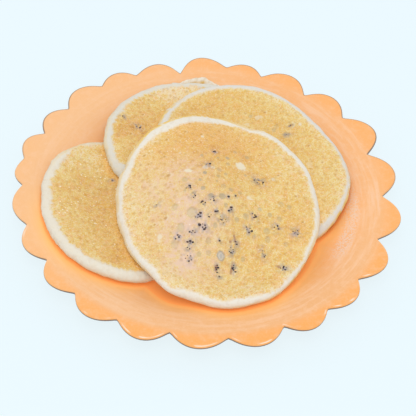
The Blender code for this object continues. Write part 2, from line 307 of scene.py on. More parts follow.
def plateMaterial():
    material, wire, shader = newMaterial("orangeGlaze", glaze["lip"], {
        "Specular IOR Level": 0.45, "Emission Strength": 1.0})
    place = wire.place()
    x, y = place.axis("X"), place.axis("Y")
    flat = wire.node("ShaderNodeCombineXYZ", {}, {"X": x, "Y": y})
    radius = wire.node("ShaderNodeVectorMath", {"operation": "LENGTH"}, {0: flat}, "Value")
    heading = wire.node("ShaderNodeVectorMath", {"operation": "NORMALIZE"}, {0: flat})
    headingX, headingY = heading.axis("X"), heading.axis("Y")

    def towards(across, along, direction):
        return across * direction[0] + along * direction[1]

    # streaks run round the plate: noise over the heading from the middle and the distance from it
    tight = glaze["streakTightness"]
    around = {"X": headingX * tight, "Y": headingY * tight, "Z": radius}
    around = wire.node("ShaderNodeCombineXYZ", {}, around)
    streaks = wire.noise(around, 3.0, 4.0, 0.65)
    broad = wire.noise(place, 30.0)
    grain = wire.noise(place, 1.1, 2.0, 0.6)
    mottled = wire.noise(place, 4.2, 3.0, 0.6)
    base = wire.node("ShaderNodeValToRGB", {"stops": glaze["stops"]},
                     {"Fac": radius * (1.0 / (glaze["reach"] * mm)) + (broad - 0.5) * 0.05})
    outer = radius.betweenMm(70, 108)
    richerSide = towards(x, y, glaze["richTowards"]).betweenMm(0, 130) * outer
    colour = wire.mix(richerSide * 0.4, base, glaze["rich"])
    palerSide = towards(x, y, glaze["paleTowards"]).betweenMm(-40, 120) * outer
    colour = wire.mix(palerSide * 0.8, colour, glaze["pale"])
    frontTone = wire.mix(radius.betweenMm(121, 129), glaze["front"], glaze["frontLip"])
    frontSide = towards(x, y, glaze["frontTowards"]).betweenMm(20, 115) * outer
    colour = wire.mix(frontSide * 0.8, colour, frontTone)
    # the band over the wall between well and rim is partly the glaze's own streaks and partly a painted
    # sheen, stronger to the right
    band = radius.betweenMm(86, 104) * (1.0 - radius.betweenMm(119, 127))
    streakSheenWeight = x.betweenMm(-20, 90) * 0.5 + 0.5
    colour = wire.mix(band * streakSheenWeight * streaks.between(0.42, 0.70) * 0.65, colour, glaze["streak"])
    # painted sheen: a pale pink sheen over the wall's band towards the front left
    paintedPaleSheenSide = towards(x, y, glaze["paintedPaleSheenTowards"]).betweenMm(60, 122) * band
    colour = wire.mix(paintedPaleSheenSide * (0.35 + streaks.between(0.35, 0.62)) * 0.2, colour, glaze["paintedPaleSheen"])
    colour = wire.mix(grain.between(0.40, 0.70) * 0.16, colour, glaze["streak"])
    # sugar dust lies in a short arc on the right of the well's wall
    dust = towards(headingX, headingY, glaze["dustTowards"]).between(0.93, 0.985)
    dust = dust * radius.betweenMm(94, 100) * (1.0 - radius.betweenMm(103, 109)) * grain.between(0.38, 0.62)
    colour = wire.mix(dust * 0.75, colour, glaze["dust"])
    colour = wire.mix(mottled.between(0.45, 0.72) * 0.28, colour, glaze["streak"])
    # painted light: a brighter orange beside the cakes on the front half, against their shade
    nearCake = wire.field("nearCake")
    colour = wire.mix(nearCake * 0.85, colour, glaze["nearCake"])
    # painted shade: a thin deep orange line where the cakes touch the plate
    colour = wire.mix(wire.field("contactShade") * 0.5, colour, glaze["contactShade"])
    # painted highlights: pale glints just inside the rim's front edge
    colour = wire.mix(wire.field("glint") * 0.9, colour, glaze["glint"])
    # painted shade: the thin dark line along the rim's edge
    colour = wire.mix(wire.field("edgeShade"), colour, glaze["edge"])
    plug(colour, shader, "Base Color")
    # painted light: an orange glow close under the cakes' edges, standing for light thrown back and forth
    # there
    cubed = nearCake * nearCake * nearCake
    plug(wire.mix(cubed * cubed, glaze["unlit"], glaze["bounce"]), shader, "Emission Color")
    plug(0.32 + streaks * 0.12 + grain * 0.04, shader, "Roughness")
    wire.roughen(streaks + grain * 0.3, 0.06, 0.6, shader)
    return material


# Rings from the middle of the upper face, over the rounded rim and back to the middle of the lower face
def buildPlate():
    columns = plate["columnsPerScallop"]
    angles, edge = scallopedOutline(np.arange(columns) / columns)
    edge = edge - plate["trim"]
    lipStart, lipEnd = plate["lipStart"], edge - plate["edgeRound"]
    rings, shades, glints = [], [], []

    def ring(radius, height, shade=0.0, glint=0.0):
        across, along = radius * np.cos(angles), radius * np.sin(angles)
        rings.append(np.stack([across, along, np.broadcast_to(height, angles.shape)], axis=-1))
        shades.append(np.broadcast_to(shade, angles.shape))
        glints.append(np.broadcast_to(glint, angles.shape))

    for radius in np.concatenate([np.linspace(6.0, 66.0, 11), np.linspace(68.0, lipStart, 46)]):
        ring(radius, plateTop(radius))
    for share in np.linspace(0.0, 1.0, 9)[1:]:
        radius = lipStart + (lipEnd - plate["ridgeInset"] - lipStart) * share
        ring(radius, plateTop(radius))
    # painted shade: a thin dark line along the edge, from higher up round the back of the plate
    back = smoothStep(np.sin(angles) * 2.0)
    # and painted highlights, short pale glints, lie just inside it round the front
    patches = cloud(angles * plate["glintArc"], 0.0, plate["glintLength"], plate["glintSeed"])
    glint = np.clip(4.0 * patches - 2.4, 0.0, 1.0) * smoothStep((-0.2 - np.sin(angles)) / 0.3)
    ring(lipEnd - plate["glintInset"], plateTop(lipEnd - plate["glintInset"]), 0.0, glint)
    ring(lipEnd, plateTop(lipEnd), plate["backLine"] * back, glint * 0.6)
    middle = (plateTop(edge) + plateUnder(edge)) / 2
    half = (plateTop(lipEnd) - plateUnder(lipEnd)) / 2
    # painted shade darkens the outer half of the rounded edge
    for turn in np.linspace(0.0, math.pi, 13)[1:-1]:
        shade = smoothStep((turn / math.pi - 0.30 + 0.24 * back) / 0.14)
        shade = np.maximum(shade, plate["backLine"] * back)
        ring(lipEnd + plate["edgeRound"] * math.sin(turn), middle + half * math.cos(turn), shade)
    # and the lower face just inside the edge carries the same painted shade
    for share in np.linspace(1.0, 0.0, 7):
        radius = lipStart + (lipEnd - lipStart) * share
        ring(radius, plateUnder(radius), smoothStep((share - 0.8) / 0.2))
    for radius in np.linspace(lipStart, plate["footOuter"] + plate["footDraft"], 15)[1:]:
        ring(radius, plateUnder(radius))
    recess = plateUnder(0.0)
    outer, inner = plate["footOuter"], plate["footInner"]
    bevel, low = plate["bevelWidth"], plate["bevelHeight"]
    for radius, height in ((outer, low), (outer - bevel, 0.0), (inner + bevel, 0.0), (inner, low),
                           (inner - plate["footDraft"], recess), (40.0, recess), (8.0, recess)):
        ring(radius, height)
    points = np.concatenate(rings)
    order = np.arange(len(points)).reshape(len(rings), -1)
    poles = np.array([[0.0, 0.0, plate["floorTop"]], [0.0, 0.0, recess]])
    faces = ringFaces(order) + fanFaces(order[0], len(points), True)
    faces += fanFaces(order[-1], len(points) + 1, False)
    nearest = np.full(len(points), 1e3)
    for cake in cakes:
        nearest = np.minimum(nearest, np.maximum(distanceBeyond(cake, points[:, 0], points[:, 1])[0], 0.0))
    radius = np.hypot(points[:, 0], points[:, 1])
    upper = points[:, 2] > plateUnder(radius) + 1.0
    # painted light: the front half is made brighter close to the cakes, where they would shade it too deeply
    front = smoothStep((0.15 - points[:, 1] / radius) / 0.5)
    # the contact field places the painted shade line right at the cakes' edges
    values = {"edgeShade": np.concatenate(shades), "glint": np.concatenate(glints),
              "contactShade": np.exp(-nearest / 0.6) * upper,
              "nearCake": np.exp(-(nearest / 7.0) ** 2) * upper * front}
    fields = {name: np.append(value, [0.0, 0.0]) for name, value in values.items()}
    piece = addPiece("scallopedPlate", np.concatenate([points, poles]), faces, plateMaterial(), fields)
    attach(piece, "root")
    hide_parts("plate")


# the pancakes, from the bottom of the heap to the top

batter = dict(
    thickness=10.0, gap=0.7, drape=45.0,
    crustInset=7.0, soleInset=6.0, widestHeight=4.5,
    shoulderSteps=9, soleSteps=7, underSteps=12, soleDepth=20.0,
)

# waves: count round the edge, height in mm and lag in degrees
# dents: angle of the ellipse, depth in mm, below 0 for a bulge, and half width in degrees
# the next three go by bearing from the cake's centre, in degrees anticlockwise from the right:
# over: bearing, half width and how many mm further the browning runs down the rounded side
# fade: bearing, half width and over how many mm more it pales there
# soleLine: bearing, half width and strength of the sole's browned edge
# browning, warm and the pinkish painted sheen after them: x, y, radius, amount; the crust's tone runs from 0
# for cream to 1 for dark brown
cakes = (
    dict(
        name="pancakeLeft", node="pancake_left", centre=(-56.7, -16.4), radii=(56, 65.3), turn=12.4,
        grid=211, tone=0.48, ragged=1.4, seed=11, sparkle=0.9, grainy=1, side=tint(219, 213, 199),
        waves=((3, 0.3, 54), (4, 0.4, -114), (5, 0.6, -54)),
        over=((95, 25, 2.6), (118, 14, 2.6), (175, 26, 0.9), (275, 40, 0.7), (192, 7, -1), (110, 6, -1),
            (130, 8, 1.6), (180, 8, 1), (210, 6, 1.3), (240, 10, 0.9), (275, 14, 1.1)),
        fade=((250, 40, 1.5), (190, 35, 1.8)),
        soleLine=((128, 22, 0.45),),
        browning=((-62, 2, 20, 0.07), (-58, -28, 19, 0.17), (-74, -15, 7, 0.13), (-80, -36, 11, -0.1),
            (-50, -62, 11, 0.11), (-84, 28, 18, -0.17), (-98, -35, 7, -0.1), (-60, -67, 8, 0.16),
            (-98, 19, 14, -0.06), (-99, -13, 9, 0.1), (-79, 19, 9, -0.1)),
    ),
    dict(
        name="pancakeBack", node="pancake_back", centre=(-4.4, 40.8), radii=(65.4, 72.1), turn=63.1,
        grid=221, tone=0.53, ragged=1.5, seed=22, sparkle=0.3, grainy=1, side=tint(212, 209, 199),
        waves=((3, 0.6, -40), (4, 0.4, 8), (5, 0.9, -45)),
        over=((180, 26, 1.6), (112, 34, 2.8), (140, 6, 1.2), (203, 12, 0.5), (129, 6, -2.6),
            (156, 9, -1.9)),
        fade=((203, 14, 3),),
        soleLine=((185, 30, 0.3),),
        browning=((-48, 52, 20, 0.1), (-49, 52, 7, 0.2), (-55, 26, 10, 0.08), (-66, 34, 12, -0.1),
            (-39, 61, 7, -0.1), (-20, 96, 20, -0.3), (-36, 92, 7, -0.08), (-26, 66, 10, 0.12),
            (-23, 26, 8, 0.1), (-58, 32, 8, -0.1), (-64, 42, 8, 0.1), (-31, 89, 9, -0.12)),
    ),
    dict(
        name="pancakeRight", node="pancake_right", centre=(30.1, 30.3), radii=(59.8, 76.8), turn=48,
        grid=221, tone=0.42, ragged=0.5, seed=33, sparkle=0.22, grainy=0.75, side=tint(213, 211, 206),
        waves=((3, 0.8, 109), (4, 1, -119), (5, 1.1, 120)),
        over=((30, 70, 2.4), (115, 35, 1.3), (330, 40, 3.3), (134, 12, 1), (35, 10, -0.6), (342, 16, 0.6),
            (12, 9, 1), (66, 12, 1)),
        fade=((320, 40, 7), (40, 60, 2.5), (13, 10, 4)),
        soleLine=((155, 16, 1), (328, 24, 1)),
        browning=((0, 76, 26, 0.15), (-18, 64, 10, 0.17), (10, 84, 8, -0.12), (26, 64, 7, 0.12),
            (42, 60, 15, 0.12), (59, 40, 11, 0.1), (58, 64, 10, -0.06), (86, 24, 10, -0.06),
            (86, 41, 9, 0.1), (46, 37, 8, 0.1), (28, 59, 8, -0.1)),
    ),
    dict(
        name="pancakeTop", node="pancake_top", centre=(9.3, -20.4), radii=(69.2, 77.6), turn=6.4, grid=249,
        tone=0.45, ragged=0.7, seed=44, sparkle=0.5, grainy=1, side=tint(224, 220, 210),
        waves=((3, 0.5, 132), (4, 0.5, -9), (6, 0.6, -113), (8, 0.3, 33), (10, 0.4, -127)),
        dents=((66, 1.8, 5), (158, 1.6, 4.5), (36, 0.9, 14), (84, -1.3, 8), (198, 0.7, 6), (239, -2.4, 9),
            (297, -2.5, 10)),
        over=((182, 24, 2.2), (127, 16, -2.2), (15, 48, 4), (285, 34, 4.4), (330, 20, 2.4), (225, 18, 4.5),
            (200, 12, 1.6), (104, 24, -2.9), (80, 6, 2.2), (52, 16, -1.3), (248, 9, 4), (270, 10, 1.5),
            (303, 8, 2.2), (316, 16, 1.2), (97, 9, -1.8), (170, 6, -2), (36, 9, -0.6), (53, 6, 0.7),
            (120, 6, 0.8), (200, 6, 0.9), (330, 8, 0.6)),
        fade=((275, 45, 6), (190, 40, 2)),
        soleLine=((95, 26, 0.8), (132, 28, 1), (180, 26, 0.45), (222, 18, 0.6), (318, 32, 0.8)),
        warm=((-8, 34, 22, 0.7), (24, 26, 20, 0.4), (-36, 6, 16, 0.3), (66, -40, 16, 0.3),
            (52, 0, 22, 0.1)),
        browning=((-3, 20, 26, 0.17), (9, -20, 20, 0.08), (-28, 2, 14, 0.06), (-19, -12, 10, 0.1),
            (33, -4, 14, 0.09), (-36, -53, 11, 0.11), (26, -58, 16, 0.03), (-52, -35, 26, -0.12),
            (-7, 48, 10, -0.2), (-43, 16, 10, -0.16), (-19, -80, 20, -0.09), (67, -42, 14, 0.1),
            (50, -4, 20, -0.06), (20, -37, 12, -0.06), (27, -78, 12, -0.07)),
        paintedSheen=((-16.8, -12.4, 17, 0.55), (-10, -42, 22, 0.75), (-4, -64, 18, 0.5), (-11, -68, 14, 0.85),
            (-30, -42, 20, 0.25), (-25, -31, 10, 0.4), (-31, -20, 18, 0.45)),
    ),
)

# chocolate under and through the crust: x, y, length, width, turn, specks, biggest speck
chocolate = {
    "pancakeTop": (
        (3.7, 12.9, 2.2, 2, 0, 2, 0.8), (-0.1, -0.8, 5, 4, 0, 2, 0.9),
        (-11.6, -22.4, 4.5, 3.5, 20, 3, 0.9), (35.1, -3.8, 9, 6, -30, 8, 0.75),
        (-7.7, -28.4, 3.5, 5, 20, 4, 0.7), (-0.9, -34, 4.5, 3, -20, 4, 0.75), (5, -30.5, 5, 5, 60, 4, 0.8),
        (20.1, -23.9, 1.6, 1.6, 0, 1, 0.7), (15.4, -26.5, 1.8, 1.2, -20, 1, 0.8),
        (17.3, -35.1, 3, 4.5, 0, 3, 1.05), (8.1, -38, 2.6, 2, 0, 2, 0.9), (4, -41, 2.8, 2.4, 0, 2, 0.7),
        (-3.5, -41.5, 5, 4, 40, 5, 1), (12.8, -41.9, 6.5, 5, 0, 7, 0.7),
        (0.5, -47.6, 6.5, 4.5, 10, 5, 0.9), (-2.4, -46.6, 2, 2, 0, 1, 1.1),
        (33.3, -34.1, 4, 5, 30, 4, 0.9), (30.3, -43.6, 5.5, 4, -30, 5, 0.95),
        (49, -37.8, 5.5, 4, -45, 3, 0.8), (62, -39, 5.5, 6, -40, 7, 0.65),
        (-16.2, -52.8, 5, 3.5, 25, 4, 0.9), (-6.4, -50.3, 6, 3, 0, 4, 0.8),
        (-7.4, -56.7, 6, 3.5, 10, 4, 1.1), (11.6, -53.5, 1.8, 1.6, 0, 1, 0.75),
        (-8.3, -60.4, 4, 2.4, 0, 2, 0.7), (-7.9, -66.5, 6, 5, 0, 5, 0.75),
        (22.5, -51.9, 2, 4.5, 30, 4, 0.6), (20.4, -57.1, 4, 6, 0, 6, 0.65),
        (41.4, -55.1, 3, 6.5, 30, 6, 0.7), (11.1, -69.2, 2, 6.5, 0, 5, 0.85),
        (22.5, -66.4, 2.6, 7, 10, 6, 0.95), (55.5, -66, 6.5, 4.5, -40, 7, 0.85),
        (13.3, -74, 3, 4, 0, 3, 0.5), (-31.5, -32.5, 3.5, 2, 20, 2, 0.45),
    ),
    "pancakeRight": ((56.9, 62.2, 3, 2.4, 0, 1, 0.5), (54.1, 54.1, 5, 2, 0, 2, 0.35)),
    "pancakeBack": ((-63.2, 58.9, 4, 3, 0, 2, 0.55), (-52.1, 52, 6, 3.5, -30, 5, 0.65)),
    "pancakeLeft": ((-66, 7, 3, 2, 0, 1, 0.45),),
}

# places where the crust stayed unbrowned: x, y, length, width, turn, paleness
unbrowned = {
    "pancakeTop": (
        (22.5, 5.8, 8.6, 7.4, 0, 1), (-13.1, -7.8, 6.2, 3, 5, 1), (29.6, -21.9, 4, 2.6, -20, 0.8),
        (-5.2, 26.7, 2.4, 2.4, 0, 0.9), (-28, -52.5, 3, 3.4, 0, 0.8), (-28.3, -55.5, 2.2, 2.4, 0, 0.7),
        (-2, -3.4, 4, 4, 0, 0.6), (3.6, -2.4, 3, 2, 0, 0.5), (45, 0, 3, 3, 0, 0.4),
        (-8.2, -39.3, 6, 5.6, 0, 0.2), (-14.7, -47.7, 4.8, 4.4, 0, 0.15), (-20, 8, 2, 1.4, 0, 0.6),
        (13.3, -60.9, 4.4, 4.6, 0, 0.9),
    ),
    "pancakeRight": (
        (63.5, 63.1, 2.6, 3, 0, 0.9), (33.5, 69.7, 5, 4.6, 0, 0.55), (26, 62.6, 4, 3.4, 0, 0.45),
        (71.4, 27.2, 4.2, 4.4, 0, 0.35),
    ),
}

# opened bubbles with a flat greyish floor: x, y, radius, greyness
bubbles = {
    "pancakeTop": (
        (13.3, -60.9, 2.6, 0.92), (-8.2, -39.3, 3.3, 0.5), (-14.7, -47.7, 2.6, 0.45),
        (-19.9, -35.4, 2, 0.35), (-17.5, -58.1, 2.6, 0.3), (4.4, -54.5, 1.8, 0.4), (5.1, -61.1, 1.7, 0.4),
        (-1.3, -62.7, 1.5, 0.4), (11.3, -27.2, 2.4, 0.8), (-4.6, 7.7, 1.2, 0.6), (-1.9, -22.7, 1.6, 0.7),
        (26.5, 16.9, 1.6, 0.5), (13.6, 4.4, 1.4, 0.4), (7.7, -9.9, 1.4, 0.4), (16.7, -19.8, 1.6, 0.5),
        (22.9, -19.9, 1.5, 0.4), (38.9, -1.4, 1.8, 0.3), (45.1, 0.1, 1.6, 0.2), (51.2, -20.4, 1.8, 0.4),
        (56.7, -21.4, 1.6, 0.3), (27.9, -36, 2.1, 0.6), (42.7, -41.5, 2.2, 0.6), (43.5, -46.6, 1.9, 0.5),
        (50.7, -31.6, 1.9, 0.5), (34.3, -46.7, 1.3, 0.4), (19, -57.3, 1.4, 0.6), (12.9, 10.5, 1.5, 0.7),
        (17.9, 19.1, 1.4, 0.4), (8, -3.5, 1.7, 0.6), (-1.6, -8.5, 1.4, 0.8), (12.6, -6.2, 1.2, 0.5),
        (3.6, -28.4, 1.9, 0.9), (11.7, -18, 2, 0.4), (-4.5, -15.3, 1.1, 0.7), (6.9, -14.9, 0.9, 0.5),
        (-14.6, -16.1, 2, 0.5), (2.2, 2.6, 0.9, 0.5), (6.4, 8.1, 1, 0.6), (26, -1.5, 1.1, 0.5),
        (8, -46, 1.5, 0.6), (14, -33, 1.3, 0.6), (22, -40, 1.5, 0.5), (37, -28, 1.5, 0.4),
        (44, -30, 1.6, 0.5), (56, -48, 1.7, 0.4), (28, -60, 1.5, 0.5),
    ),
    "pancakeRight": (
        (54.1, 54.1, 2.4, 0.6), (45, 58.7, 1.8, 0.4), (46.8, 62, 1.8, 0.2), (27.8, 70.5, 1.5, 0.3),
    ),
}

# small brown pits where a bubble burst late: x, y, radius
pits = {
    "pancakeTop": (
        (-25.9, -12.7, 1.2), (-43.8, 5, 0.9), (-30, 3.3, 0.8), (-29.8, 19.5, 0.9), (-6.2, 28.8, 0.8),
        (-25.3, -41.3, 1), (-32.3, -44.6, 0.7), (-45.5, -2.5, 0.7), (-17.5, 29, 0.8), (-40.5, -32.2, 0.6),
        (-37, -36, 0.6), (48.5, 4, 0.8), (61, -12, 0.8), (36, 16, 0.7), (66.5, -30, 0.8),
    ),
    "pancakeRight": ((56.9, 62.2, 1.5), (8, 70, 0.8), (38, 74, 0.8), (70, 44, 0.8), (80, 30, 0.7)),
    "pancakeBack": ((-50, 66, 0.8), (-56.5, 44, 0.8)),
}

# reddish brown cracks beside the chocolate: x, y, length, width, turn
cracks = {
    "pancakeTop": (
        (10.8, -69, 1.8, 7, 5), (20.8, -67.5, 1.6, 7, -5), (21.5, -50, 1.6, 6.5, 20),
        (51, -63.8, 5, 2, -30), (18.6, -52.5, 1.8, 1.8, 0),
    ),
}


# The edge's distance from the centre as a share of the plain ellipse's
def edgeShare(cake, angle):
    share = np.ones_like(angle)
    size = sum(cake["radii"]) / 2
    for count, height, lag in cake["waves"]:
        share = share + height / size * np.cos(count * angle - math.radians(lag))
    for place, depth, halfWidth in cake.get("dents", ()):
        share = share - depth / size * np.exp(-(angleAway(angle, place) / math.radians(halfWidth)) ** 2)
    return share


# Signed difference from an angle given in degrees
def angleAway(angle, degrees):
    return (angle - math.radians(degrees) + math.pi) % turnRound - math.pi


# Offsets in plan as seen from axes that are turned by some degrees
def turned(dx, dy, degrees):
    turn = math.radians(degrees)
    return dx * math.cos(turn) + dy * math.sin(turn), dy * math.cos(turn) - dx * math.sin(turn)


# A share of the way from the centre to a line inset from the edge, at an angle of the ellipse
def planPoint(cake, angle, share, inset):
    reach = edgeShare(cake, angle) * share
    along = (cake["radii"][0] - inset) * reach * np.cos(angle)
    across = (cake["radii"][1] - inset) * reach * np.sin(angle)
    dx, dy = turned(along, across, -cake["turn"])
    return cake["centre"][0] + dx, cake["centre"][1] + dy


# How far a plan position lies outside a pancake's edge, and the angle of the ellipse it lies at
def distanceBeyond(cake, x, y):
    dx, dy = x - cake["centre"][0], y - cake["centre"][1]
    along, across = turned(dx, dy, cake["turn"])
    along, across = along / cake["radii"][0], across / cake["radii"][1]
    share = np.maximum(np.hypot(along, across), 1e-6)
    angle = np.arctan2(across, along)
    return np.hypot(dx, dy) * (1.0 - edgeShare(cake, angle) / share), angle


# Underside of a pancake: the plate, plus each lower pancake with a soft ramp past its edge
def underside(level, x, y):
    height = plateTop(np.hypot(x, y)) + batter["gap"]
    for lower in cakes[:level]:
        ramp = 1.0 - smoothStep(distanceBeyond(lower, x, y)[0] / batter["drape"])
        height = height + (batter["thickness"] + batter["gap"]) * ramp
    return height


# Distance from an ellipse's middle, as a share of its half length and half width, both grown by some mm
# spot starts with the ellipse's x, y, length, width and turn
def ellipseShare(x, y, spot, grow=0.0):
    centreX, centreY, length, width, turn = spot[:5]
    along, across = turned(x - centreX, y - centreY, turn)
    return np.hypot(along / (length + grow), across / (width + grow)) * 2


# Sum of smooth bumps round the edge, each given as (bearing, half width, height)
def roundEdge(bearing, bumps):
    total = np.zeros_like(bearing)
    for place, halfWidth, height in bumps:
        total = total + height * np.exp(-(angleAway(bearing, place) / math.radians(halfWidth)) ** 2)
    return total


# Sum of smooth round mounds, each given as (x, y, radius, height)
def mounds(x, y, places):
    total = np.zeros_like(x)
    for centreX, centreY, radius, height in places:
        total = total + height * np.exp(-((x - centreX) ** 2 + (y - centreY) ** 2) / radius ** 2)
    return total


# Rise and fall of the crust: soft swells, lumps over the chocolate, dimples and opened bubbles
def crustRelief(cake, x, y):
    name, seed = cake["name"], cake["seed"]
    rise = 0.5 * (cloud(x, y, 17.0, seed) - 0.5) + 0.22 * (cloud(x, y, 5.0, seed + 1) - 0.5)
    rise = rise + 0.16 * (cloud(x, y, 1.7, seed + 2) - 0.5)
    distance, _, number = cells(x, y, 4.4, seed + 3)
    rise = rise - 0.16 * smoothStep(1.5 - distance / (0.5 + 0.7 * number)) * (number > 0.35)
    for lump in chocolate[name]:
        rise = rise + 0.4 * np.exp(-ellipseShare(x, y, lump, 1.0) ** 2)
    for centreX, centreY, radius, _ in bubbles.get(name, ()):
        share = np.hypot(x - centreX, y - centreY) / radius
        rise = rise - 0.2 * smoothStep((1.1 - share) / 0.3) + 0.08 * np.exp(-((share - 1.2) / 0.2) ** 2)
    return np.minimum(rise, 0.55)


# How far down the side, brown, stained, pale or flushed the crust is at each point
def crustFields(level, x, y, angle, depth):
    cake = cakes[level]
    name, seed = cake["name"], cake["seed"]
    arc = angle * sum(cake["radii"]) / 2
    bearing = np.arctan2(y - cake["centre"][1], x - cake["centre"][0])
    # the browning ends in a ragged line with short fringes that point outwards
    fringe = cloud(arc, depth * 0.3, 2.2, seed + 7) + 0.5 * cloud(x, y, 1.2, seed + 11) - 0.75
    wander = cloud(arc, depth * 0.1, 13.0, seed + 8) - 0.5
    edge = depth + roundEdge(bearing, cake["over"]) + cake["ragged"] * (1.8 * fringe + 1.6 * wander)
    tone = cake["tone"] + 0.12 * (cloud(x, y, 21.0, seed + 5) + cloud(x, y, 8.0, seed + 6) - 1.0)
    tone = tone + mounds(x, y, cake["browning"])
    tone = tone - 0.30 * np.exp(-np.maximum(edge, 0.0) / (2.6 + roundEdge(bearing, cake["fade"])))
    paintedSheen, stain, pale, opened, crack, tucked = (np.zeros(x.shape) for _ in range(6))
    # painted sheen: pinkish patches where the crust would catch the light
    for place in cake.get("paintedSheen", ()):
        paintedSheen = np.maximum(paintedSheen, mounds(x, y, (place,)))
    paintedSheen = paintedSheen * (0.5 + cloud(x, y, 3.0, seed + 12))
    distance, offset, number = cells(x, y, 4.4, seed + 3)
    share = distance / (0.5 + 0.7 * number)
    # dimples are darker, and darker still on their upper side as painted shade
    dimple = smoothStep((1.3 - share) / 0.5) * (number > 0.55) * smoothStep(edge / 2.0)
    pitAndShade = dimple * (0.3 + 0.3 * smoothStep(offset / distance))
    patchy = np.clip(2.2 * cloud(x, y, 1.4, seed + 9) - 0.5, 0.0, 1.0)
    for lump in chocolate[name]:
        stain = np.maximum(stain, np.exp(-ellipseShare(x, y, lump, 2.0) ** 2) * patchy * 0.75)
    uneven = 0.7 * (cloud(x, y, 1.6, seed + 10) - 0.5)
    for spot in unbrowned.get(name, ()):
        share = ellipseShare(x, y, spot) + uneven
        pale = np.maximum(pale, spot[5] * smoothStep((1.15 - share) / 0.4))
    uneven = 0.3 * (cloud(x, y, 1.5, seed + 13) - 0.5)
    for centreX, centreY, radius, amount in bubbles.get(name, ()):
        share = np.hypot(x - centreX, y - centreY) / radius + uneven
        up = (y - centreY) / radius
        inside = smoothStep((1.15 - share) / 0.35)
        # small ones are darker, and each carries painted shade, darkest where its upper edge hangs over it
        hang = (0.85 + 0.3 * smoothStep(up + 0.2)) * (1.15 if radius < 1.7 else 0.9)
        opened = np.maximum(opened, (0.18 + 0.62 * amount) * inside * hang)
        ringed = inside * (1.0 - 0.6 * np.exp(-((share - 0.55) / 0.14) ** 2))
        stain = np.maximum(stain, 1.7 * max(amount - 0.6, 0.0) * ringed)
        # painted shade: a dark crescent inside each bubble's upper edge
        pitAndShade = np.maximum(pitAndShade, 0.45 * np.exp(-((share - 0.9) / 0.25) ** 2) * smoothStep(up * 1.5))
    for centreX, centreY, radius in pits.get(name, ()):
        share = ellipseShare(x, y, (centreX, centreY, 2.4 * radius, 1.7 * radius, 25.0))
        pitAndShade = np.maximum(pitAndShade, 1.1 * smoothStep((1.25 - share) / 0.6))
        # painted highlight: a pale rim on the right side of each pit
        halo = np.exp(-((share - 1.6) / 0.35) ** 2) * smoothStep((x - centreX) / radius)
        pale = np.maximum(pale, 0.5 * halo)
    uneven = 0.9 * (cloud(x, y, 1.3, seed + 17) - 0.5)
    for spot in cracks.get(name, ()):
        share = ellipseShare(x, y, spot) + uneven
        crack = np.maximum(crack, smoothStep((1.2 - share) / 0.7))
    # the browned edge of the sole comes up as far as the far side's outline, and covers the sole itself
    north = np.sin(bearing)
    soleTop = -4.6 + 3.4 * np.maximum(north, 0.0) - 4.6 * np.maximum(-north, 0.0)
    soleLine = np.minimum(roundEdge(bearing, cake["soleLine"]), 1.0) * smoothStep((soleTop - depth) / 0.9)
    soleLine = soleLine * np.clip(3.2 * cloud(arc, depth * 0.3, 4.0, seed + 14) - 0.1, 0.0, 1.0)
    # painted light: brighter and more golden close under the edge of a cake that lies on this one, against
    # the shade it casts
    for upper in cakes[level + 1:]:
        tucked = np.maximum(tucked, np.exp(-np.maximum(distanceBeyond(upper, x, y)[0], 0.0) / 2.5))
    sole = smoothStep((-14.0 - depth + 1.5 * fringe) / 2.5)
    return {"crustEdge": edge, "crustTone": tone, "paintedSheen": paintedSheen, "stain": stain, "unbrowned": pale,
            "opened": opened, "pitAndShade": pitAndShade, "soleLine": soleLine, "warm": mounds(x, y, cake.get("warm", ())),
            "sole": sole, "tucked": tucked, "crack": crack}


crustColours = dict(
    stops=((0.08, tint(226, 214, 184)), (0.26, tint(223, 206, 148)), (0.42, tint(218, 192, 124)),
           (0.58, tint(213, 177, 105)), (0.76, tint(200, 150, 82)), (0.96, tint(164, 110, 58))),
    sideLow=tint(222, 212, 188), soleLine=tint(226, 191, 104), creaseShade=tint(210, 197, 178),
    pore=tint(200, 144, 72), sparkle=tint(242, 232, 210), pitAndShade=tint(184, 140, 76), crack=tint(150, 100, 84),
    stain=tint(138, 130, 128), blueStain=tint(134, 140, 160), opened=tint(178, 165, 134),
    pale=tint(222, 212, 188), rich=tint(216, 164, 62), milky=tint(226, 202, 168), orange=tint(228, 172, 98),
    paintedSheen=tint(221, 192, 170), tucked=tint(255, 204, 118), peach=tint(225, 175, 124),
)


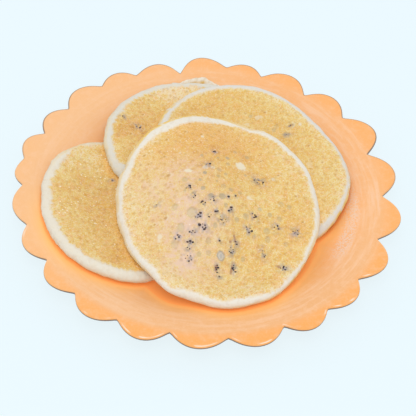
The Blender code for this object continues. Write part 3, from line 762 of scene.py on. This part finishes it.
def crustMaterial(cake):
    material, wire, shader = newMaterial(cake["name"] + "Crust", crustColours["stops"][3][1], {
        "Specular IOR Level": 0.3})
    place = wire.place()
    fine = wire.noise(place, 1.2, 2.0, 0.6)
    medium = wire.noise(place, 3.4, 2.0, 0.6)
    broad = wire.noise(place, 10.0)
    warmth = wire.noise(place, 4.6, 3.0, 0.65, 0.6)
    spice = wire.noise(place, 1.0, 2.0, 0.7)
    lumps = wire.noise(place, 3.6, 3.0, 0.55, 0.4)
    grainy = cake["grainy"]

    def paint(below, name, mask):
        return wire.mix(mask, below, crustColours[name])

    tone = wire.field("crustTone") + (fine - 0.5) * (0.55 * grainy) + (medium - 0.5) * (0.85 * grainy)
    tone = tone + (broad - 0.5) * 0.25
    crust = wire.node("ShaderNodeValToRGB", {"stops": crustColours["stops"]}, {"Fac": tone})
    crust = paint(crust, "peach", warmth.between(0.45, 0.68) * (0.55 * grainy))
    crust = paint(crust, "orange", wire.field("warm") * 0.8)
    # painted light: brighter golden crust beside the edge of a cake above
    crust = paint(crust, "tucked", wire.field("tucked") * 0.8)
    crust = paint(crust, "rich", spice.between(0.48, 0.66) * 0.75)
    crust = paint(crust, "milky", spice.between(0.50, 0.30) * 0.75)
    edge = wire.field("crustEdge") + (fine - 0.5) * 2.2 + (medium - 0.5) * 1.6
    side = paint(cake["side"], "sideLow", edge.between(-7.0, -12.0) * 0.6)
    side = paint(side, "sideLow", medium.between(0.5, 0.7) * 0.3)
    # painted shade: slightly darker cream in the hollows between lumps on the side
    side = paint(side, "creaseShade", lumps.between(0.47, 0.34) * 0.35)
    side = paint(side, "soleLine", wire.field("soleLine") * (medium + (fine - 0.5) * 0.5).between(0.28, 0.44))
    onCrust = wire.maths("MAXIMUM", edge.between(-0.7, 2.4), wire.field("sole"))
    colour = wire.mix(onCrust, side, crust)
    # painted sheen: a pinkish sheen over the top cake's middle and left
    paintedSheen = wire.field("paintedSheen") * (1.0 + (fine - 0.5) * 3.0 + (warmth - 0.5) * 2.4)
    colour = paint(colour, "paintedSheen", paintedSheen)
    well = edge.between(0.5, 3.0)
    pores = wire.dots(place, 3.1, (0.12, 0.34), "Red", (0.38, 0.60)) * well
    colour = paint(colour, "pore", pores * 0.45)
    # painted highlights: small bright sparkles in clusters on the crust
    sparkles = wire.dots(place, 2.3, (0.10, 0.32), "Green", (0.58, 0.76)) * well
    sparkles = sparkles * (0.15 + broad.between(0.46, 0.60))
    colour = paint(colour, "sparkle", sparkles * cake["sparkle"])
    # this colour holds the brown pits and the painted shade in dimples and bubbles
    colour = paint(colour, "pitAndShade", wire.field("pitAndShade") * 0.7)
    colour = paint(colour, "opened", wire.field("opened"))
    # the unbrowned colour also carries the painted highlight on the pits' rims
    colour = paint(colour, "pale", wire.field("unbrowned"))
    stain = paint(crustColours["stain"], "blueStain", warmth.between(0.40, 0.60))
    colour = wire.mix(wire.field("stain"), colour, stain)
    colour = paint(colour, "crack", wire.field("crack") * 0.65)
    plug(colour, shader, "Base Color")
    plug(0.64 - onCrust * 0.12 + fine * 0.2, shader, "Roughness")
    height = fine * 0.5 + medium - pores * 0.8 + sparkles * 0.3 + (1.0 - onCrust) * lumps * 3.5
    wire.roughen(height, 0.5, 0.3, shader)
    return material


# A square grid bent onto the round crust, then rings down the rounded side and in under the sole
def buildPancake(level):
    cake = cakes[level]
    count, seed = cake["grid"], cake["seed"]
    a, b = np.meshgrid(np.linspace(-1.0, 1.0, count), np.linspace(-1.0, 1.0, count))
    share = np.maximum(np.abs(a), np.abs(b)).ravel()
    wide = np.abs(a) >= np.abs(b)
    safeA, safeB = np.where(a == 0, 1e-9, a), np.where(b == 0, 1e-9, b)
    angle = np.where(wide, math.pi / 4 * b / safeA + math.pi * (a < 0),
                     math.pi / 2 - math.pi / 4 * a / safeB + math.pi * (b < 0)).ravel()
    index = np.arange(count * count).reshape(count, count)
    rim = np.concatenate([index[:-1, -1], index[-1, :0:-1], index[:0:-1, 0], index[0, :-1]])
    quads = np.stack([index[:-1, :-1], index[:-1, 1:], index[1:, 1:], index[1:, :-1]], axis=-1)

    # both quarter turns of the side: how far in, how high, and how far down along it each ring lies
    thickness, widest = batter["thickness"], batter["widestHeight"]
    shoulder = np.linspace(0.0, math.pi / 2, batter["shoulderSteps"] + 1)[1:]
    sole = np.linspace(0.0, math.pi / 2, batter["soleSteps"] + 1)[1:]
    inset = np.concatenate([batter["crustInset"] * (1 - np.sin(shoulder)),
                            batter["soleInset"] * (1 - np.cos(sole))])
    height = np.concatenate([widest + (thickness - widest) * np.cos(shoulder), widest * (1 - np.sin(sole))])
    steps = np.diff(inset, prepend=batter["crustInset"]), np.diff(height, prepend=thickness)
    drop = np.cumsum(np.hypot(*steps))
    relief = np.concatenate([np.cos(shoulder) ** 2, 0.0 * sole])

    x, y = planPoint(cake, angle, share, batter["crustInset"])
    parts = [(x, y, underside(level, x, y) + thickness + crustRelief(cake, x, y))]
    depths, angles = [-distanceBeyond(cake, x, y)[0] - batter["crustInset"]], [angle]

    def ring(x, y, z, depth, angle):
        parts.append((x, y, z))
        depths.append(np.full(len(x), depth))
        angles.append(angle)

    rimAngle = angle[rim]
    arc = rimAngle * sum(cake["radii"]) / 2
    for ringInset, ringHeight, ringDrop, ringRelief in zip(inset, height, drop, relief):
        below = smoothStep(ringDrop / 4.0)
        waver = cloud(arc, ringHeight, 6.0, seed + 15) + 0.5 * cloud(arc, ringHeight, 2.5, seed + 16) - 0.75
        waver = waver * below * smoothStep(ringHeight / 2.0) * min(cake["ragged"], 1.0)
        x, y = planPoint(cake, rimAngle, 1.0, ringInset + 0.3 * below + waver)
        z = underside(level, x, y) + ringHeight
        if ringRelief > 0.01:
            z = z + ringRelief * crustRelief(cake, x, y)
        ring(x, y, z, -ringDrop, rimAngle)
    for ringShare in np.linspace(1.0, 0.0, batter["underSteps"] + 1)[1:-1]:
        x, y = planPoint(cake, rimAngle, ringShare, batter["soleInset"])
        ring(x, y, underside(level, x, y), -batter["soleDepth"], rimAngle)
    x, y = np.array([cake["centre"][0]]), np.array([cake["centre"][1]])
    ring(x, y, underside(level, x, y), -batter["soleDepth"], np.array([0.0]))

    points = np.concatenate([np.stack(part, axis=-1) for part in parts])
    fields = crustFields(level, points[:, 0], points[:, 1], np.concatenate(angles), np.concatenate(depths))
    ringCount = len(inset) + batter["underSteps"] - 1
    rings = count * count + np.arange(ringCount * len(rim)).reshape(ringCount, -1)
    faces = quads.reshape(-1, 4).tolist() + ringFaces(np.concatenate([rim[None, :], rings]))
    faces += fanFaces(rings[-1], len(points) - 1, False)
    piece = addPiece(cake["name"], points, faces, crustMaterial(cake), fields)
    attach(piece, "root")
    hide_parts(cake["node"])


# chocolate specks: small uneven balls, flattened onto the crust

specks = dict(
    rings=5, segments=8, seed=91,
    colour=tint(46, 40, 50), brown=tint(96, 58, 40), bloom=tint(120, 118, 130),
)


def speckMaterial():
    material, wire, shader = newMaterial("darkChocolate", specks["colour"], {"Specular IOR Level": 0.4})
    place = wire.place()
    blotch, grain = wire.noise(place, 2.4), wire.noise(place, 0.3)
    colour = wire.mix(blotch.between(0.5, 0.68), specks["colour"], specks["brown"])
    plug(wire.mix(grain.between(0.55, 0.8) * 0.4, colour, specks["bloom"]), shader, "Base Color")
    plug(0.32 + grain * 0.3, shader, "Roughness")
    return material


# Unit ball from rings and segments, with its faces
def roundLump(rings, segments):
    down = np.linspace(0.0, math.pi, rings + 1)[1:-1, None]
    around = np.linspace(0.0, turnRound, segments, endpoint=False)[None, :]
    ball = np.stack([np.sin(down) * np.cos(around), np.sin(down) * np.sin(around),
                     np.cos(down) + 0.0 * around], axis=-1).reshape(-1, 3)
    order = np.arange(len(ball)).reshape(rings - 1, segments)
    faces = ringFaces(order) + fanFaces(order[0], len(ball), True) + fanFaces(order[-1], len(ball) + 1, False)
    return np.concatenate([ball, [[0.0, 0.0, 1.0], [0.0, 0.0, -1.0]]]), faces


def buildSpecks():
    source = np.random.default_rng(specks["seed"])
    ball, ballFaces = roundLump(specks["rings"], specks["segments"])
    pieces, faces, total = [], [], 0
    for level, cake in enumerate(cakes):
        for centreX, centreY, length, width, turn, number, biggest in chocolate[cake["name"]]:
            across = 0.42 * np.sqrt(source.random(number)) * (number > 1)
            heading = turnRound * (np.arange(number) * 0.382 + source.random())
            along, side = across * length * np.cos(heading), across * width * np.sin(heading)
            dx, dy = turned(along, side, -turn)
            x, y = centreX + dx, centreY + dy
            size = biggest * np.where(np.arange(number) == 0, 0.9, 0.35 + 0.4 * source.random(number))
            z = underside(level, x, y) + batter["thickness"] + crustRelief(cake, x, y)
            for index in range(number):
                stretch = size[index] * np.append(0.8 + 0.5 * source.random(2), 0.45)
                lump = ball * (1.0 + 0.28 * (source.random(len(ball)) - 0.5))[:, None] * stretch
                pieces.append(lump + np.array([x[index], y[index], z[index] + 0.05 * size[index]]))
                faces += [[corner + total for corner in face] for face in ballFaces]
                total += len(ball)
    piece = addPiece("chocolateSpecks", np.concatenate(pieces), faces, speckMaterial())
    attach(piece, "root")
    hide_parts("pancake_left", "pancake_back", "pancake_right", "pancake_top")


# The torn lip: batter that ran out thin behind the back pancake. Its outer line is given from left to right
tornLip = dict(
    carrier=1, lift=0.7, thickness=2.6, columns=90, sectionSteps=28, seed=71,
    rootStart=(-28.0, 96.4), rootEnd=(8.0, 100.0),
    outerX=(-28.0, -27.0, -21.5, -16.0, -10.0, -7.8, -5.3, -2.0, 5.0, 8.0),
    outerY=(97.2, 106.9, 111.2, 113.0, 114.8, 115.0, 113.3, 111.0, 108.0, 101.0),
    cream=tint(226, 217, 202), beige=tint(214, 200, 176), shadowTan=tint(206, 166, 96),
)

# crumbs: x, y, radius
crumbs = dict(
    places=((-30.3, 107.6, 1.3), (-31, 105.6, 1.5), (-34, 106.4, 0.9), (-96.8, 33.9, 1), (-86.5, 41.8, 0.8)),
    rings=7, segments=10, seed=77,
)


def batterMaterial():
    material, wire, shader = newMaterial("paleBatter", tornLip["cream"], {"Specular IOR Level": 0.3})
    place = wire.place()
    fine = wire.noise(place, 0.8, 2.0, 0.6)
    medium = wire.noise(place, 2.6)
    colour = wire.mix(medium.between(0.42, 0.62) * 0.8, tornLip["cream"], tornLip["beige"])
    # painted shadow: tan shade over the torn lip's inner part
    colour = wire.mix(wire.field("tanShadow") * (1.1 + (fine - 0.5) * 2.0), colour, tornLip["shadowTan"])
    plug(colour, shader, "Base Color")
    plug(0.58 + fine * 0.2, shader, "Roughness")
    wire.roughen(fine + medium, 0.5, 0.3, shader)
    return material


# Flattened closed sections from the root to the ragged outer line, carried from left to right
def buildTornLip(material):
    seed = tornLip["seed"]
    share = np.linspace(0.0, 1.0, tornLip["columns"])[:, None]
    turn = np.linspace(0.0, turnRound, tornLip["sectionSteps"], endpoint=False)[None, :]
    start, end = tornLip["rootStart"], tornLip["rootEnd"]
    x = start[0] + (end[0] - start[0]) * share
    root = start[1] + (end[1] - start[1]) * share
    outer = np.interp(x, tornLip["outerX"], tornLip["outerY"])
    outer = outer + 0.9 * (cloud(x, 0.0, 1.6, seed) - 0.5) - 0.3
    # a section is a flat superellipse: out along the underside, round the outer line and back over the top
    reach = 0.5 - 0.5 * np.sign(np.cos(turn)) * np.abs(np.cos(turn)) ** 0.6
    side = np.sign(np.sin(turn)) * np.abs(np.sin(turn)) ** 0.5
    y = root + (outer - root) * reach
    x = x + 0.0 * y
    base = underside(tornLip["carrier"], x, y) + tornLip["lift"] + tornLip["thickness"] / 2
    fold = np.exp(-((reach - 0.88) / 0.10) ** 2) - 0.9 * np.exp(-((reach - 0.62) / 0.14) ** 2) * (x < -5.0)
    rough = 1.1 * (cloud(x, y, 2.4, seed + 1) - 0.5) + 0.5 * (cloud(x, y, 1.0, seed + 2) - 0.5)
    top = 0.5 + 0.5 * side
    z = base + side * tornLip["thickness"] / 2 + (0.7 * fold + 0.7 * rough) * top
    # painted shadow: tan shade over the inner part of the lip near its root, on the left
    tanShadow = smoothStep((0.80 - reach) / 0.12) * smoothStep((-4.0 - x) / 5.0) * top
    tanShadow = tanShadow * (0.5 + 0.8 * cloud(x, y, 2.2, seed + 3))
    points = np.stack([x, y, z], axis=-1)
    order = np.arange(points[..., 0].size).reshape(points.shape[:2])
    poles = np.stack([points[0].mean(0), points[-1].mean(0)])
    faces = ringFaces(order) + fanFaces(order[0], order.size, True)
    faces += fanFaces(order[-1], order.size + 1, False)
    fields = {"tanShadow": np.append(tanShadow.ravel(), [0.0, 0.0])}
    piece = addPiece("tornLip", np.concatenate([points.reshape(-1, 3), poles]), faces, material, fields)
    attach(piece, "root")
    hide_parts("pancake_back")


# Crumbs of batter left beside the cakes: balls pushed in and out by noise
def buildCrumbs(material):
    source = np.random.default_rng(crumbs["seed"])
    ball, ballFaces = roundLump(crumbs["rings"], crumbs["segments"])
    pieces, faces = [], []
    for x, y, radius in crumbs["places"]:
        lump = ball * (1.0 + 0.5 * (source.random(len(ball)) - 0.5))[:, None] * radius
        rest = plateTop(math.hypot(x, y))
        faces += [[corner + len(ball) * len(pieces) for corner in face] for face in ballFaces]
        pieces.append(lump + np.array([x, y, rest + 0.8 * radius]))
    points = np.concatenate(pieces)
    piece = addPiece("batterCrumbs", points, faces, material, {"tanShadow": 0.0 * points[:, 0]})
    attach(piece, "root")
    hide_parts("pancake_back")


# floor, light and camera

studio = dict(
    floor=tint(235, 249, 255), floorGlow=0.86, floorAlbedo=0.13, floorHalf=3.0,
    skyColour=(1.0, 0.985, 0.96), skyStrength=0.88,
    # lamps: name, place, size, power, colour
    lamps=(("softWindow", (-0.05, -0.78, 1.7), 1.3, 11.0, (1.0, 0.985, 0.96)),
           ("softFill", (-0.4, 1.3, 1.4), 1.2, 2.0, (1.0, 1.0, 1.0))),
    focalLength=118.2, sensor=36.0, elevation=48.03, roll=4.47,
    distance=0.93555, target=(0.0023, -0.0158, 0.020),
)


# A pale floor that glows by itself, so that it stays even
def buildFloor():
    material, wire, shader = newMaterial("paleFloor", studio["floor"], {
        "Roughness": 0.9, "Specular IOR Level": 0.0, "Emission Color": studio["floor"],
        "Emission Strength": studio["floorGlow"]})
    drift = wire.noise(wire.place(), 400.0, 1.0)
    plain = tuple(studio["floorAlbedo"] * channel for channel in studio["floor"][:3]) + (1.0,)
    plug(wire.mix(drift * 0.02, plain, (0.2, 0.2, 0.2, 1.0)), shader, "Base Color")
    half = studio["floorHalf"] / mm
    corners = np.array([(-half, -half, -0.2), (half, -half, -0.2), (half, half, -0.2), (-half, half, -0.2)])
    floor = addPiece("paleFloor", corners, [[0, 1, 2, 3]], material)


def buildLight():
    world = bpy.data.worlds.new("softRoom")
    world.use_nodes = True
    sky = world.node_tree.nodes["Background"]
    sky.inputs["Color"].default_value = (*studio["skyColour"], 1.0)
    sky.inputs["Strength"].default_value = studio["skyStrength"]
    bpy.context.scene.world = world
    for lamp in studio["lamps"]:
        addLamp(*lamp)


# A round soft light that faces the plate
def addLamp(name, place, size, power, colour):
    lamp = bpy.data.lights.new(name, "AREA")
    lamp.shape = "DISK"
    lamp.size = size
    lamp.energy = power
    lamp.color = colour
    holder = bpy.data.objects.new(name, lamp)
    holder.location = place
    holder.rotation_euler = (-holder.location).to_track_quat("-Z", "Y").to_euler()
    bpy.context.scene.collection.objects.link(holder)


# The camera looks down at its elevation, turned a little about its own axis
def buildCamera():
    elevation, roll = math.radians(studio["elevation"]), math.radians(studio["roll"])
    forward = Vector((0.0, math.cos(elevation), -math.sin(elevation)))
    right = Vector((1.0, 0.0, 0.0))
    up = right.cross(forward)
    tiltedRight = math.cos(roll) * right + math.sin(roll) * up
    tiltedUp = math.cos(roll) * up - math.sin(roll) * right
    target = Vector(studio["target"]) - Vector(frameMiddle * mm)
    lens = bpy.data.cameras.new("view")
    lens.lens = studio["focalLength"]
    lens.sensor_width = studio["sensor"]
    lens.clip_end = 20.0
    camera = bpy.data.objects.new("view", lens)
    turn = Matrix((tiltedRight, tiltedUp, -forward)).transposed().to_4x4()
    camera.matrix_world = Matrix.Translation(target - forward * studio["distance"]) @ turn
    bpy.context.scene.collection.objects.link(camera)
    bpy.context.scene.camera = camera
    bpy.context.scene.view_settings.view_transform = "Standard"


buildPlate()
for level in range(len(cakes)):
    buildPancake(level)
buildSpecks()
paleBatter = batterMaterial()
buildTornLip(paleBatter)
buildCrumbs(paleBatter)
buildFloor()
buildLight()
buildCamera()
